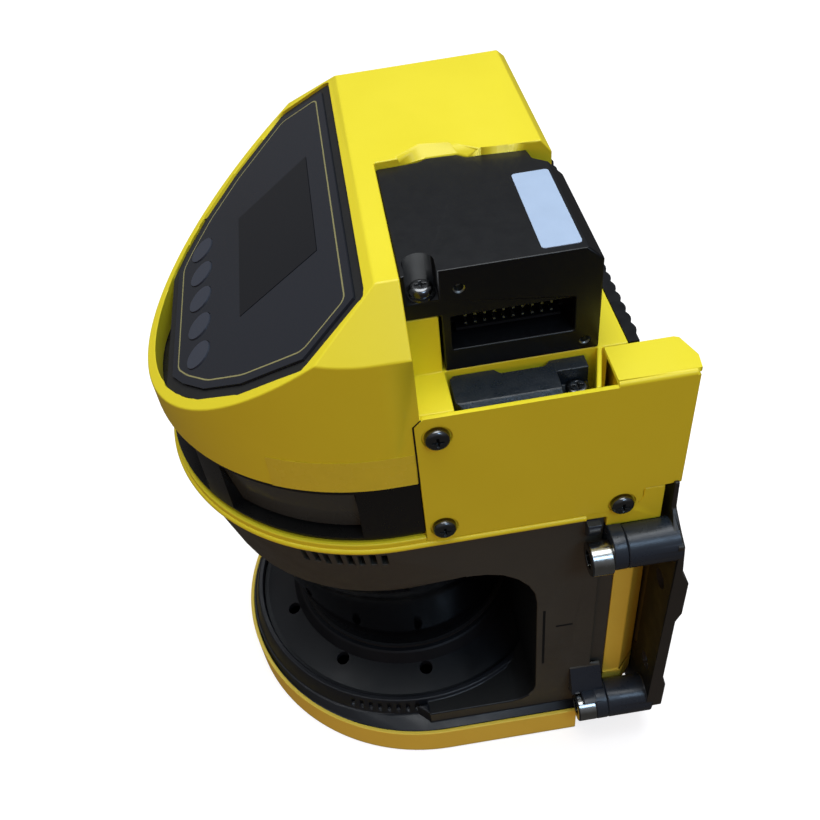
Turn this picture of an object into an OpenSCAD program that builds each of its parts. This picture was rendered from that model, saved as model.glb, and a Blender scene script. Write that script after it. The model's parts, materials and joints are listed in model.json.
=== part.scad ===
// Safety laser scanner: a yellow die-cast head over a black waisted lower
// housing with a curved scan window, a side-mounted connection box, a cover
// plate on the right-hand side and a black wall frame behind.
// Units mm. Origin on the scan axis at the underside, -Y is the front,
// +X the cover-plate side, +Z up.

/* [Body] */
// Radius of the rounded front of the head, half the head width
body_r = 55.5; // [55:0.25:56]
// Height of the flat top of the hood over the underside
top_z = 167; // [166:0.5:168]
// Underside of the yellow lip that runs round the head
lip_z = 98; // [97.5:0.5:98.5]
// Upper edge of the camera band
band_top_z = 120.4; // [119.5:0.5:121.5]
// Top of the yellow block beside the hood
block_z = 139.7; // [139.5:0.1:140]
// Wall of the yellow casting
wall = 2.5; // [2:0.25:2.75]

/* [Panel] */
// Distance of the slanted panel's lower edge behind the front of the head
panel_inset = 6.7; // [6.4:0.1:7.2]
// Height of that lower edge over the camera band
panel_foot = 10; // [9.6:0.2:10.6]
// Height of the panel's upper edge, just in front of the axis
panel_top_z = 165.4; // [165:0.2:165.8]
// Depth of the panel's recess
panel_t = 1.6; // [1.4:0.2:2]

/* [Lower housing] */
// Step of the chin behind the yellow lip
chin_setback = 0.7; // [0.7:0.1:1.5]
// Overhang of the chin's lower edge past the scan window
chin_rim = 4.3; // [4:0.1:4.7]
// Height of the chin's lower edge
chin_z = 72.4; // [72:0.2:73]
// Rear edge of the scan opening behind the axis
mouth_rear_y = 32; // [31.5:0.5:32.5]
// Overhang of the base flange past the head, on each side
flange_out = 1.9; // [1.5:0.1:1.9]
// Centre of the flange and bumper arc behind the scan axis
base_yc = 4.8; // [4.4:0.2:5.2]
// Height of the yellow base bumper
bumper_h = 10.5; // [10:0.25:11]

/* [Scan optics] */
// Outer radius of the window at its top edge
win_top_r = 45; // [44.6:0.2:45]
// Outer radius of the window at its lower edge
win_low_r = 33.4; // [33:0.2:33.6]
// Wall of the window
win_t = 2.2; // [1.8:0.2:2.4]
// Radius of the rotor shaft
shaft_r = 2.5; // [2.4:0.05:2.5]

/* [Connection box] */
// Height of the connection box over the yellow block
box_h = 25.7; // [25:0.1:26]
// Pitch of the contact pins
pin_pitch = 2; // [1.9:0.05:2.05]
// Pins in each of the two rows
pin_cols = 10; // [8:1:10]
// Length of the connector recess
recess_l = 25.4; // [25:0.2:26]

/* [Cover plate] */
// Thickness of the sheet
plate_t = 1.15; // [1:0.05:1.2]
// Depth of the plate from its front edge to its rear edge
plate_l = 58.8; // [58:0.2:59.4]
// Width of the folded tab
tab_w = 11.5; // [11:0.1:11.8]

/* [Wall frame] */
// Distance of the frame screws outside the head, on each side
screw_out = 4.5; // [4.5:0.25:5.5]
// Height of the upper frame screws
screw_hi = 89; // [88:0.5:90]
// Height of the lower frame screws
screw_lo = 16; // [15.5:0.5:17]
// Thickness of the frame at its lower rail
frame_t = 4.2; // [3.9:0.1:4.5]
// Pitch of the heat sink's rounded ribs
fin_pitch = 3.75; // [3.5:0.05:4]

/* [Hidden] */
$fn = 56;

// Places that follow from the sizes above
chin_low_r = win_top_r + chin_rim;
panel_front_z = band_top_z + panel_foot;
barrel_r = body_r - 28.5;
side = body_r - 0.1;
chin_top_r = body_r - chin_setback;
flange_r = body_r + flange_out;
screw_x = body_r + screw_out;
panel_front_y = body_r - panel_inset;
base_r = flange_r - 6.6;
base_rear = 43.4;
block_rear = 53.7;
column_rear = 61.1;
housing_rear = 47.7;
// front face of the wall frame, and the seam between its bosses and the lugs
frame_y = 62.7;
seam_y = 51.25;
// the bosses and lugs stand a little inwards of and above the screws
boss_r = 5.4;
function boss_at(z) = [screw_x - (z > 50 ? 1.2 : 0.8), z + (z > 50 ? 1.6 : 0.9)];

// Slope of the operating panel
slope_a = atan((panel_top_z - panel_front_z) / (panel_front_y + 0.2));
function slope_z(y) = panel_front_z + (y + panel_front_y) * tan(slope_a);
win_z0 = 21.4;
win_z1 = chin_z + 1;
box_top = block_z + box_h;
box_x0 = 1.6;
box_x1 = body_r - 13.2;
// rear face of the hood behind the box, and of the box itself
hood_rear = 46.7;
box_rear = 47.3;
// front face of the box, and its fixing screw and flange
box_y0 = 7.3;
box_sx = box_x1 - 2.9;
box_sy = 11.4;
box_fz0 = box_top - 10.9;
box_fz1 = box_top - 6.9;
// connector recess
rec_yc = 29.2;
rec_z0 = block_z + 5.5;
rec_z1 = block_z + 14.1;

// ---- plan shapes ----
module dplan(r, yb, yc = 0) {
  difference() {
    union() {
      translate([0, yc]) circle(r = r);
      translate([-r, yc]) square([2 * r, yb - yc]);
    }
    translate([-r - 1, yb]) square([2 * r + 2, r]);
  }
}
module sector(r, a0, a1) {
  // angles counted from straight ahead (-Y) towards +X
  polygon(concat([[0, 0]], [for (i = [0:8]) let (a = a0 + (a1 - a0) * i / 8) [r * sin(a), -r * cos(a)]]));
}
module slab(z0, z1) { translate([0, 0, z0]) linear_extrude(z1 - z0) children(); }
module box6(x0, x1, y0, y1, z0, z1) { translate([x0, y0, z0]) cube([x1 - x0, y1 - y0, z1 - z0]); }
module ycyl(r, x, z, y0, y1, n = 32) { translate([x, y0, z]) rotate([-90, 0, 0]) cylinder(r = r, h = y1 - y0, $fn = n); }
module xcyl(r, y, z, x0, x1, n = 24) { translate([x0, y, z]) rotate([0, 90, 0]) cylinder(r = r, h = x1 - x0, $fn = n); }
module zcyl(r, x, y, z0, z1, n = 32) { translate([x, y, z0]) cylinder(r = r, h = z1 - z0, $fn = n); }
module on_slope() { translate([0, -panel_front_y, panel_front_z]) rotate([slope_a, 0, 0]) children(); }

// ---- base ----
module base_bumper() {
  color("gold") difference() {
    slab(0, bumper_h) dplan(flange_r + 1.3, base_rear + 0.2, base_yc);
    slab(0.8, bumper_h + 1) dplan(flange_r + 0.1, base_rear + 0.6, base_yc);
    slab(-1, 1) { dplan(flange_r - 4.4, base_rear + 0.6, base_yc); dplan(base_r + 0.4, base_rear + 0.6); }
  }
}
base_holes = concat([for (s = [-1, 1]) [s * (base_r - 6.8), 42]],
  [for (s = [-1, 1], a = [31.2, 80.5]) [s * (base_r - 2.5) * sin(a), -(base_r - 2.5) * cos(a)]]);
module base_plate() {
  color("dimgray") difference() {
    slab(0, 2.65) dplan(base_r, 45.6);
    for (p = base_holes) {
      zcyl(1.7, p[0], p[1], -1, 3, 16);
      translate([p[0], p[1], -0.01]) cylinder(r1 = 3.2, r2 = 1.7, h = 1.5, $fn = 20);
    }
  }
}
module base_screws() {
  color("silver") for (p = base_holes) difference() {
    union() {
      translate([p[0], p[1], 0.12]) cylinder(r1 = 2.95, r2 = 1.4, h = 1.45, $fn = 20);
      zcyl(1.4, p[0], p[1], 1.5, 9.5, 12);
    }
    for (q = [0, 90]) translate([p[0], p[1], 0.4]) rotate([0, 0, q]) cube([2.6, 0.6, 1.2], center = true);
  }
}

// ---- lower housing ----
// side view of the scan opening: low at the front, high and rounded at the rear
module mouth_profile() {
  polygon(concat(
    [[-75, 15.4], [-75, chin_z], [0, chin_z], [4, chin_z + 1.2], [9, chin_z + 4.8], [13.5, chin_z + 9.9]],
    [for (i = [0:6]) let (a = 90 - i * 15) [mouth_rear_y - 17 + 17 * cos(a), chin_z - 6.8 + 17 * sin(a)]],
    [for (i = [0:4]) let (a = -i * 22.5) [mouth_rear_y - 7 + 7 * cos(a), 22.4 + 7 * sin(a)]]));
}
module chin_outer() {
  intersection() {
  box6(-80, 80, -80, housing_rear, chin_z - 1, lip_z);
  hull() {
    slab(chin_z, chin_z + 0.1) circle(r = chin_low_r - 1.4);
    slab(chin_z + 1.6, chin_z + 1.7) circle(r = chin_low_r + 0.1);
    slab(lip_z - 0.7, lip_z - 0.6) circle(r = chin_top_r);
    box6(-chin_top_r, chin_top_r, 14, 15, chin_z + 10.4, lip_z - 0.6);
  }
  }
}
module side_profile(s, y0, y1) {
  // a profile seen from the front, on either side, between two depths
  translate([0, y1, 0]) rotate([90, 0, 0]) linear_extrude(y1 - y0) mirror([s < 0 ? 1 : 0, 0]) children();
}
module lug(s, z) {
  // screw lug standing off the side of the housing
  side_profile(s, housing_rear + 0.25, seam_y) difference() {
    union() {
      translate(boss_at(z)) circle(r = boss_r, $fn = 40);
      translate([chin_top_r - 4.8, boss_at(z)[1] - boss_r + 0.5]) square([boss_at(z)[0] - chin_top_r + 4, 2 * boss_r - 1]);
    }
    translate([0, lip_z - 3.7]) square([body_r + 0.1, 10]);
  }
}
module screw_hood(s) {
  // short catch over the upper screw head, and the hood of the lower one
  side_profile(s, 43.1, 46.3) polygon([[54, lip_z - 5.6], [56.6, lip_z - 4.6], [57.6, lip_z - 2], [57.6, lip_z - 0.1], [54, lip_z - 0.1]]);
  side_profile(s, 44.4, housing_rear + 0.3) intersection() {
    translate([screw_x, screw_lo]) circle(r = 5.9, $fn = 40);
    translate([screw_x, screw_lo]) polygon([[0, 0], [4.5, 9.5], [-9, 9.5], [-9, 0]]);
  }
  side_profile(s, 41.8, 50.6) polygon([[54, 30], [55.2, 29.4], [58.6, 22.6], [58.6, screw_lo + 1.5], [54, screw_lo + 1.5]]);
}
module lower_housing() {
  color("#34302a") difference() {
    union() {
      // base flange with its sloping shoulder
      slab(0.85, bumper_h - 0.6) dplan(flange_r, base_rear, base_yc);
      hull() {
        slab(bumper_h - 0.7, bumper_h - 0.6) dplan(flange_r - 0.3, base_rear, base_yc);
        slab(bumper_h + 1, bumper_h + 1.1) dplan(flange_r - 5, base_rear);
      }
      // round wall under the dish
      translate([0, 0, 11]) cylinder(r1 = flange_r - 5.4, r2 = flange_r - 7.4, h = 5.5);
      // waisted rear block
      difference() {
        box6(-chin_top_r, chin_top_r, 0, housing_rear, 0.85, lip_z - 0.6);
        rotate([90, 0, 90]) translate([0, 0, -80]) linear_extrude(160) mouth_profile();
        box6(-80, 80, -1, 14.2, 60, lip_z + 2);
      }
      box6(-chin_top_r + 1.9, chin_top_r - 1.9, 47, 52.3, 4, lip_z - 3.6);
      chin_outer();
      for (s = [-1, 1]) {
        lug(s, screw_hi);
        lug(s, screw_lo);
        screw_hood(s);
      }
    }
    // hollow of the base
    slab(-1, 2.7) dplan(base_r + 0.2, 45.8);
    slab(2.6, 12.8) dplan(base_r - 4.2, 44.7);
    intersection() {
      box6(-60, 60, -60, mouth_rear_y, 10, 30);
      union() {
        translate([0, 0, 12.8]) cylinder(r = chin_low_r - 0.9, h = 7.8);
        translate([0, 0, 20]) cylinder(r = win_low_r + 1.3, h = win_z0 - 20);
      }
    }
    // hollow of the rear block and of the chin
    box6(-chin_top_r + 3.8, chin_top_r - 3.8, mouth_rear_y + 3, 44.7, 2.6, lip_z);
    box6(-chin_top_r + 4.8, chin_top_r - 4.8, 44, 49.8, 8, lip_z - 8);
    difference() {
      slab(0, lip_z) intersection() {
        circle(r = 80);
        translate([-80, -80]) square([160, mouth_rear_y + 80]);
      }
      translate([0, 0, -1]) cylinder(r = 100, h = chin_z + 4);
      difference() {
        translate([0, 0, chin_z - 1]) cylinder(r = 80, h = 40);
        translate([0, 0, chin_z + 3]) cylinder(r1 = chin_low_r - 3, r2 = chin_top_r - 3, h = lip_z - chin_z - 3);
      }
    }
    box6(-chin_top_r + 3.2, chin_top_r - 3.2, 14, 44.7, 85.5, lip_z);
    // optical opening, window seat and the grooves for the window's ends
    intersection() {
      union() {
        translate([0, 0, chin_z - 1]) cylinder(r = win_top_r - 2.4, h = 6);
        translate([0, 0, chin_z - 1]) cylinder(r = win_top_r + 0.4, h = 3);
      }
      box6(-60, 60, -60, mouth_rear_y, 60, 90);
    }
    intersection() {
      difference() {
        translate([0, 0, win_z0 - 0.4]) cylinder(r1 = win_low_r + 0.25, r2 = win_top_r + 0.3, h = win_z1 - win_z0 + 0.8);
        translate([0, 0, win_z0 - 0.5]) cylinder(r1 = win_low_r - win_t - 0.25, r2 = win_top_r - win_t - 0.2, h = win_z1 - win_z0 + 1);
      }
      box6(-60, 60, mouth_rear_y - 3, mouth_rear_y + 2.6, 10, 80);
    }
    // cable opening from the base into the rear block
    box6(-30, 30, 20, mouth_rear_y + 4, 4, 12);
    // eight slots under the lip and eight in the base wall, on both sides
    for (s = [-1, 1], i = [0:7]) {
      rotate([0, 0, s * (64 + 3 * i) - 90]) translate([chin_top_r - 2.8, 0, lip_z - 4.7]) cube([12, 1.5, 5.6], center = true);
      rotate([0, 0, s * (64 + 3.2 * i) - 90]) translate([flange_r - 6.2, 0, 13.9]) cube([2.2, 1.2, 2.6], center = true);
    }
    // relief grooves of the side walls
    for (s = [-1, 1]) {
      box6(s * (chin_top_r + 0.1) - 0.6, s * (chin_top_r + 0.1) + 0.6, mouth_rear_y + 1.6, mouth_rear_y + 2.3, 34.5, 61.5);
      box6(s * (chin_top_r + 0.1) - 0.6, s * (chin_top_r + 0.1) + 0.6, 37.2, 41.8, 52.6, 53.4);
    }
    for (p = base_holes) zcyl(1.5, p[0], p[1], 2, 10, 12);
    for (s = [-1, 1], z = [screw_hi, screw_lo]) {
      ycyl(4.6, s * screw_x, z, 40, 48);
      ycyl(2.75, s * screw_x, z, 40, 53);
    }
  }
}
module joint_seal() {
  color("black") slab(lip_z - 0.55, lip_z - 0.05) difference() {
    dplan(chin_top_r - 1.2, 46.5);
    dplan(chin_top_r - 2.4, 45.3);
  }
}

// ---- dish and window ----
module dish_tray() {
  color("#2b333c") difference() {
    intersection() {
      rotate_extrude($fn = 72) polygon([[31, 2.7], [33, 2.7], [33, 17.4], [37, 14.9], [chin_low_r - 3.3, 12.9],
        [chin_low_r - 1.1, 12.9], [chin_low_r - 1.1, 14.4], [chin_low_r - 2.5, 14.5], [37.6, 16.7], [35.9, 19.9], [35.4, 20.4], [31, 20.4]]);
      box6(-60, 60, -60, mouth_rear_y - 0.15, 0, 40);
    }
    for (a = [15, 53, 92, -15, -53, -92]) zcyl(2, 39.6 * sin(a), -39.6 * cos(a), 10, 20, 16);
  }
}
module scan_window() {
  color([0.08, 0.1, 0.12, 0.6]) intersection() {
    difference() {
      translate([0, 0, win_z0]) cylinder(r1 = win_low_r, r2 = win_top_r, h = win_z1 - win_z0, $fn = 72);
      translate([0, 0, win_z0 - 0.01]) cylinder(r1 = win_low_r - win_t, r2 = win_top_r - win_t, h = win_z1 - win_z0 + 0.02, $fn = 72);
    }
    box6(-60, 60, -60, mouth_rear_y + 2.3, 0, 90);
  }
}
module window_seal_upper() {
  color("black") intersection() {
    slab(win_z1, win_z1 + 1) difference() { circle(r = win_top_r + 0.3); circle(r = win_top_r - 2.3); }
    box6(-60, 60, -60, mouth_rear_y - 0.1, 0, 90);
  }
}
module window_seal_lower() {
  color("black") intersection() {
    slab(20.4, win_z0) difference() { circle(r = win_low_r + 0.9); circle(r = win_low_r - 2.2); }
    box6(-60, 60, -60, mouth_rear_y - 0.2, 0, 90);
  }
}

// ---- rotor and its drive ----
module motor_stator() {
  color("silver") difference() {
    union() {
      slab(2.65, 5) circle(r = 28);
      zcyl(15, 0, 0, 4, 21.5, 40);
    }
    zcyl(3.6, 0, 0, 0, 30, 24);
    zcyl(6.52, 0, 0, 2, 9, 28);
    zcyl(6.52, 0, 0, 17.5, 22, 28);
    for (a = [0:60:300]) rotate([0, 0, a]) translate([14.6, 0, 14]) cube([2.4, 3, 9], center = true);
  }
}
module rotor_bearings() {
  color("lightgray") for (z = [5, 17.5]) difference() {
    zcyl(6.5, 0, 0, z, z + 4, 28);
    zcyl(shaft_r + 0.05, 0, 0, z - 1, z + 5, 28);
    for (e = [z - 0.01, z + 3.61]) slab(e, e + 0.4) difference() { circle(r = 5.5, $fn = 24); circle(r = 3.7, $fn = 24); }
  }
}
module rotor_shaft() {
  color("gray") {
    zcyl(shaft_r, 0, 0, 4.2, 22.4, 28);
    zcyl(6, 0, 0, 22.3, 25.1, 32);
    zcyl(8, 0, 0, 25, 28, 32);
  }
}
module encoder_disc() {
  color("#3a3a40") difference() {
    slab(23.2, 24) difference() { circle(r = 21, $fn = 72); circle(r = 6.05, $fn = 32); }
    for (i = [0:23]) rotate([0, 0, i * 15]) translate([19.2, 0, 23.6]) cube([2.2, 1.6, 2], center = true);
  }
}
module encoder_fork() {
  color("#1d1d20") difference() {
    box6(-4, 4, 17, 26, 5, 27.2);
    box6(-5, 5, 16, 22.6, 21.8, 25.2);
    box6(-5, 5, 16, 19, 4, 21.9);
  }
}
module mirror_carrier() {
  color("#202024") {
    difference() {
      slab(28, 30) circle(r = 19);
      for (a = [0:90:270]) zcyl(1.1, 12 * cos(a), 12 * sin(a), 27, 31, 12);
    }
    intersection() {
      zcyl(23.6, 0, 0, 29.8, 66, 48);
      union() {
        for (s = [-1, 1]) translate([s * 14 - 1, 0, 0]) rotate([90, 0, 90]) linear_extrude(2)
          polygon([[-13.4, 29.5], [18.5, 29.5], [18.5, 61.6]]);
        translate([0, 0, 47]) rotate([45, 0, 0]) translate([-15, -24, -4.6]) cube([30, 48, 2]);
      }
    }
  }
}
module scan_mirror() {
  color("white") translate([0, 0, 47]) rotate([45, 0, 0]) translate([0, 0, -2.6]) linear_extrude(2.6)
    scale([15.5 / 21, 1]) circle(r = 21, $fn = 48);
}

// ---- receiving optics ----
// the lens rests in the barrel between these heights
lens_z = chin_z + 11.6;
lens_screw_r = win_top_r - 7;
module lens_mount() {
  color("#232326") difference() {
    union() {
      slab(chin_z + 3, chin_z + 5.6) intersection() {
        circle(r = win_top_r + 0.6);
        translate([-60, -60]) square([120, mouth_rear_y + 59.9]);
      }
      zcyl(barrel_r, 0, 0, chin_z + 4.6, lip_z + 14, 48);
    }
    zcyl(barrel_r - 3, 0, 0, chin_z - 2, lens_z, 48);
    zcyl(barrel_r - 5.5, 0, 0, lens_z - 1, lip_z + 20, 40);
    for (a = [45:90:315]) zcyl(1.4, lens_screw_r * cos(a), lens_screw_r * sin(a), chin_z + 2, chin_z + 8, 12);
  }
  // spider that carries the laser module
  color("#232326") difference() {
    union() {
      zcyl(7, 0, 0, lens_z + 2, lens_z + 6, 28);
      box6(-barrel_r + 5, barrel_r - 5, -1.5, 1.5, lens_z + 2, lens_z + 5);
    }
    zcyl(5.2, 0, 0, lens_z - 4, lens_z + 11, 28);
  }
}
module lens_screws() {
  color("silver") for (a = [45:90:315]) translate([lens_screw_r * cos(a), lens_screw_r * sin(a), 0]) difference() {
    union() {
      zcyl(2.4, 0, 0, chin_z + 5.6, chin_z + 7.4, 20);
      zcyl(1.2, 0, 0, chin_z + 3.05, chin_z + 5.7, 12);
    }
    zcyl(1.1, 0, 0, chin_z + 6.6, chin_z + 18, 6);
  }
}
module receiver_lens() {
  r0 = barrel_r - 3.1;
  color([0.8, 0.9, 1, 0.5]) rotate_extrude($fn = 56) polygon(concat([[5.3, lens_z], [r0, lens_z], [r0, lens_z - 4]],
    [for (i = [1:6]) let (r = r0 - i * (r0 - 5.3) / 6) [r, lens_z - 4 - 5 * (1 - pow(r / r0, 2))]]));
}
module laser_module() {
  color("silver") {
    zcyl(5.1, 0, 0, lens_z - 7, lens_z + 14, 28);
    zcyl(3.4, 0, 0, lens_z - 8.4, lens_z - 6.8, 20);
  }
}
module detector_board() {
  color("darkgreen") slab(lip_z + 14, lip_z + 15.6) circle(r = barrel_r - 1);
  color("silver") zcyl(4.6, 0, 0, lip_z + 8, lip_z + 14.1, 24);
  color("#111111") box6(8, 18, -6, 6, lip_z + 15.5, lip_z + 17.6);
}
module main_board() {
  color("darkgreen") box6(-chin_top_r + 8.8, chin_top_r - 8.8, 39, 40.6, 14, lip_z - 6);
  color("#111111") {
    box6(-20, -2, 36.8, 39.1, 40, 58);
    box6(8, 22, 37.4, 39.1, 44, 56);
    box6(-38, -30, 36.2, 39.1, 60, 76);
    box6(28, 40, 36, 39.1, 66, 76);
    box6(-40, -24, 35.6, 39.1, 18, 26);
  }
}

// ---- yellow head ----
module bevel_cut() {
  // the hood's long side bevels
  for (s = [-1, 1]) rotate([-90, 0, 0]) translate([0, 0, -80]) linear_extrude(160)
    polygon([[s * (body_r - 10.6), -top_z - 1], [s * (body_r - 10.6), -top_z], [s * (body_r + 0.1), -top_z + 11.4], [s * 90, -top_z + 37], [s * 90, -top_z - 1]]);
}
module slope_cut(d) {
  // everything above the slanted face, moved down by d square to it
  on_slope() translate([-80, -40, -d]) cube([160, 150, 120]);
}
module hood_solid() {
  difference() {
    union() {
      slab(band_top_z, top_z) dplan(side, box_y0 - 0.15);
      // the inner face follows the box with a small gap
      slab(130, top_z) polygon([[-side, 0], [5, 0], [5, box_y0 - 0.15], [box_x0 - 0.15, box_y0 - 0.15], [box_x0 - 0.55, 16.6], [-0.05, 18.8],
        [0.4, 25.8], [2.1, 27.7], [2.15, 31], [3.05, 40.9], [3.05, hood_rear], [-side, hood_rear]]);
      slab(130, box_fz0 - 0.1) square([box_x1 - 0.1, 14.1]);
    }
    bevel_cut();
    // sloping rear edge of the hood's top
    rotate([90, 0, 90]) linear_extrude(200, center = true)
      polygon([[hood_rear - 2.5, top_z], [hood_rear + 0.1, top_z - 3.3], [hood_rear + 1, top_z + 1], [hood_rear - 2.5, top_z + 1]]);
    // finger notch of the hood's edge
    hull() {
      slab(box_top - 0.1, box_top) polygon([[3.4, 12.8], [box_x0 - 0.15, 12.8], [box_x0 - 0.55, 16.6], [-0.05, 18.8], [0.4, 25.8], [2.1, 27.6], [3.4, 27.6]]);
      slab(top_z, top_z + 0.1) polygon([[3.7, 12.5], [-0.2, 12.5], [-3.7, 17.9], [-2.5, 24.6], [2.7, 31.5], [3.7, 31.5]]);
    }
  }
}
module head_hollow() {
  slab(lip_z - 1, block_z - wall) dplan(side - wall, block_rear - wall);
  difference() {
    slab(block_z - 3, top_z - wall) union() {
      dplan(side - wall, box_y0 - 0.1 - wall);
      translate([-side + wall, -1]) square([side - wall - 2.5, hood_rear + 1 - wall]);
    }
    slope_cut(wall + panel_t);
    for (s = [-1, 1]) rotate([-90, 0, 0]) translate([0, 0, -90]) linear_extrude(180)
      polygon([[s * (body_r - 11 - wall), -top_z - 3], [s * (body_r - 11 - wall), -top_z + wall], [s * (body_r - wall), -top_z + 10.5 + wall], [s * 90, -top_z + 37], [s * 90, -top_z - 3]]);
  }
}
module panel_outline(d = 0) {
  k = 1 / cos(slope_a);
  // follows the rounded front a little inside the wall, then the side bevels
  a0 = acos(panel_front_y / (body_r - 2.2));
  rim = concat([for (a = [a0, 31.8, 42.9, 57.1, 68]) [(body_r - 2.5) * sin(a), a == a0 ? -panel_front_y : -(body_r - 2.5) * cos(a)]],
    [[body_r - 3, -13.6], [body_r - 9.9, 0.2]]);
  offset(r = 3 + d, $fn = 24) offset(delta = -3) polygon([for (p = rim) [p[0], (p[1] + panel_front_y) * k],
    for (i = [6:-1:0]) [-rim[i][0], (rim[i][1] + panel_front_y) * k]]);
}
plate_holes = [[10.3, block_z - 5.8], [10, lip_z + 6.4], [51.2, lip_z + 4.5]];
module head_shell() {
  color("gold") difference() {
    union() {
      difference() {
        union() {
          slab(lip_z, block_z) dplan(side, block_rear);
          box6(-side, side, housing_rear + 0.25, column_rear, lip_z - 3.4, lip_z + 8.2);
          hood_solid();
        }
        head_hollow();
        box6(-side + wall, side - wall, housing_rear + 2.8, column_rear - wall, lip_z - 1, lip_z + 5.7);
      }
      // pocket walls and screw bosses inside the block
      box6(box_x1 - 1.9, body_r - 1.1, 12.8, 49.4, 122, block_z - 0.1);
      for (p = plate_holes) xcyl(3.2, p[0], p[1], body_r - 9.5, body_r - 1);
      zcyl(2.75, box_sx, box_sy, box_fz0 - 8.5, box_fz0 - 0.2, 24);
    }
    // slanted face of the operating panel
    difference() {
      slope_cut(0);
      translate([-90, 2.4, 100]) cube([180, 100, 100]);
    }
    // camera band opening
    box6(-90, 90, -90, 5.8, lip_z + 3.3, band_top_z);
    // seat of the cover plate
    translate([body_r - plate_t - 0.05, 0, 0]) rotate([90, 0, 90]) linear_extrude(5) offset(delta = 0.15) plate_profile();
    // pocket, and the cable slot behind its slanting rib
    slab(124, 150) polygon([[box_x1, 14.5], [body_r - plate_t, 14.5], [body_r - plate_t, 43.4], [box_x1, 47]]);
    slab(126, 150) polygon([[box_x1 + 0.3, 48], [body_r - plate_t, 44.5], [body_r - plate_t, 60], [box_x1 + 0.3, 60]]);
    for (p = plate_holes) {
      xcyl(1.55, p[0], p[1], body_r - 8.5, body_r + 5);
      xcyl(3.2, p[0], p[1], body_r - 0.45, body_r + 5, 28);
    }
    zcyl(1.55, box_sx, box_sy, box_fz0 - 7.5, box_fz1, 20);
    zcyl(1.3, body_r - 6.5, 41.2, 110, 126, 16);
    // recess and opening of the operating panel
    on_slope() translate([0, 0, -panel_t]) linear_extrude(20) panel_outline(0.1);
    on_slope() translate([-26, 12, -8]) cube([52, 38, 10]);
    // wire way under the box
    zcyl(7, 22, 30, 120, 150, 28);
  }
}
// the panes' height in the band
pane_z0 = lip_z + 5.5;
pane_z1 = band_top_z - 1.6;
pane_zc = (pane_z0 + pane_z1) / 2 + 0.35;
module camera_sectors(r) {
  sector(r, 45, 81);
  sector(r, -36, 0);
  sector(r, 0, 36);
  sector(r, -81, -45);
}
module camera_band() {
  color("#2a2824") difference() {
    union() {
      slab(lip_z + 3.35, lip_z + 5.2) difference() { dplan(body_r - 1.6, 5.6); dplan(body_r - 7.3, 6); }
      slab(lip_z + 5.1, band_top_z - 0.1) difference() { dplan(body_r - 0.8, 5.6); dplan(body_r - 7.3, 6); }
    }
    // sloping seats of the panes
    difference() {
      slab(pane_z0, pane_z1) camera_sectors(90);
      translate([0, 0, pane_z0]) cylinder(r1 = body_r - 5.6, r2 = body_r - 2.9, h = pane_z1 - pane_z0);
    }
    for (a = [63, -63]) rotate([0, 0, a - 90]) translate([body_r - 10.5, 0, pane_zc]) rotate([0, 90, 0]) cylinder(r = 4.2, h = 10, $fn = 24);
    rotate([0, 0, -90]) translate([body_r - 5.5, 0, pane_zc]) cube([10, 40, 7], center = true);
  }
}
module camera_panes() {
  color([0.35, 0.35, 0.33, 0.7]) difference() {
    slab(pane_z0 + 0.7, pane_z1 - 0.1) { sector(body_r + 1, 45.4, 80.6); sector(body_r + 1, -80.6, -45.4); sector(body_r + 1, -35.6, 35.6); }
    translate([0, 0, pane_z0]) cylinder(r1 = body_r - 5.55, r2 = body_r - 2.85, h = pane_z1 - pane_z0);
    difference() {
      translate([0, 0, 90]) cylinder(r = 90, h = 40);
      translate([0, 0, pane_z0]) cylinder(r1 = body_r - 4.1, r2 = body_r - 1.4, h = pane_z1 - pane_z0);
    }
  }
}
module camera_modules() {
  color("#151517") for (a = [63, -63]) rotate([0, 0, a - 90]) {
    translate([body_r - 25, -8, pane_zc - 7]) cube([11, 16, 14]);
    translate([body_r - 14.1, 0, pane_zc]) rotate([0, 90, 0]) cylinder(r = 3.9, h = 8.6, $fn = 24);
  }
}
module indicator_board() {
  color("darkgreen") rotate([0, 0, -90]) translate([body_r - 12.1, -16, pane_zc - 6.5]) cube([1.6, 32, 12]);
  color("white") for (y = [-12:6:12]) rotate([0, 0, -90]) translate([body_r - 10.6, y - 1.5, pane_zc - 1.5]) cube([1.6, 3, 3]);
}
module dome_label() {
  color("khaki") slab(band_top_z + 0.3, band_top_z + 6.6) difference() {
    intersection() { circle(r = body_r + 0.03, $fn = 96); sector(90, 46, 89.5); }
    circle(r = body_r - 0.09, $fn = 96);
  }
}

// ---- operating panel ----
module panel_gasket() {
  color("#1a1a1a") on_slope() translate([0, 0, -panel_t]) linear_extrude(0.9) difference() { panel_outline(0); panel_outline(-2.6); }
}
module control_panel() {
  color("#25272c") on_slope() difference() {
    translate([0, 0, -panel_t]) linear_extrude(panel_t - 0.1) panel_outline(-2.7);
    translate([-20.1, 25.9, -0.9]) cube([40.2, 24.2, 3]);
    for (i = [-2:2]) translate([i * 10.5, 12, -0.6]) cylinder(r = 3.9, h = 2, $fn = 24);
  }
}
module display_window() {
  color([0.1, 0.12, 0.16]) on_slope() translate([-20, 26, -0.9]) cube([40, 24, 0.9]);
}
module panel_keys() {
  color("#3c4250") on_slope() for (i = [-2:2]) translate([i * 10.5, 12, -0.6]) cylinder(r = 3.75, h = 0.75, $fn = 24);
}
module display_module() {
  color("#606468") on_slope() {
    translate([-25.5, 12.5, -7.6]) cube([51, 37, 3.4]);
    translate([-19, 27, -4.3]) cube([38, 22, 2.65]);
  }
}

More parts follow.
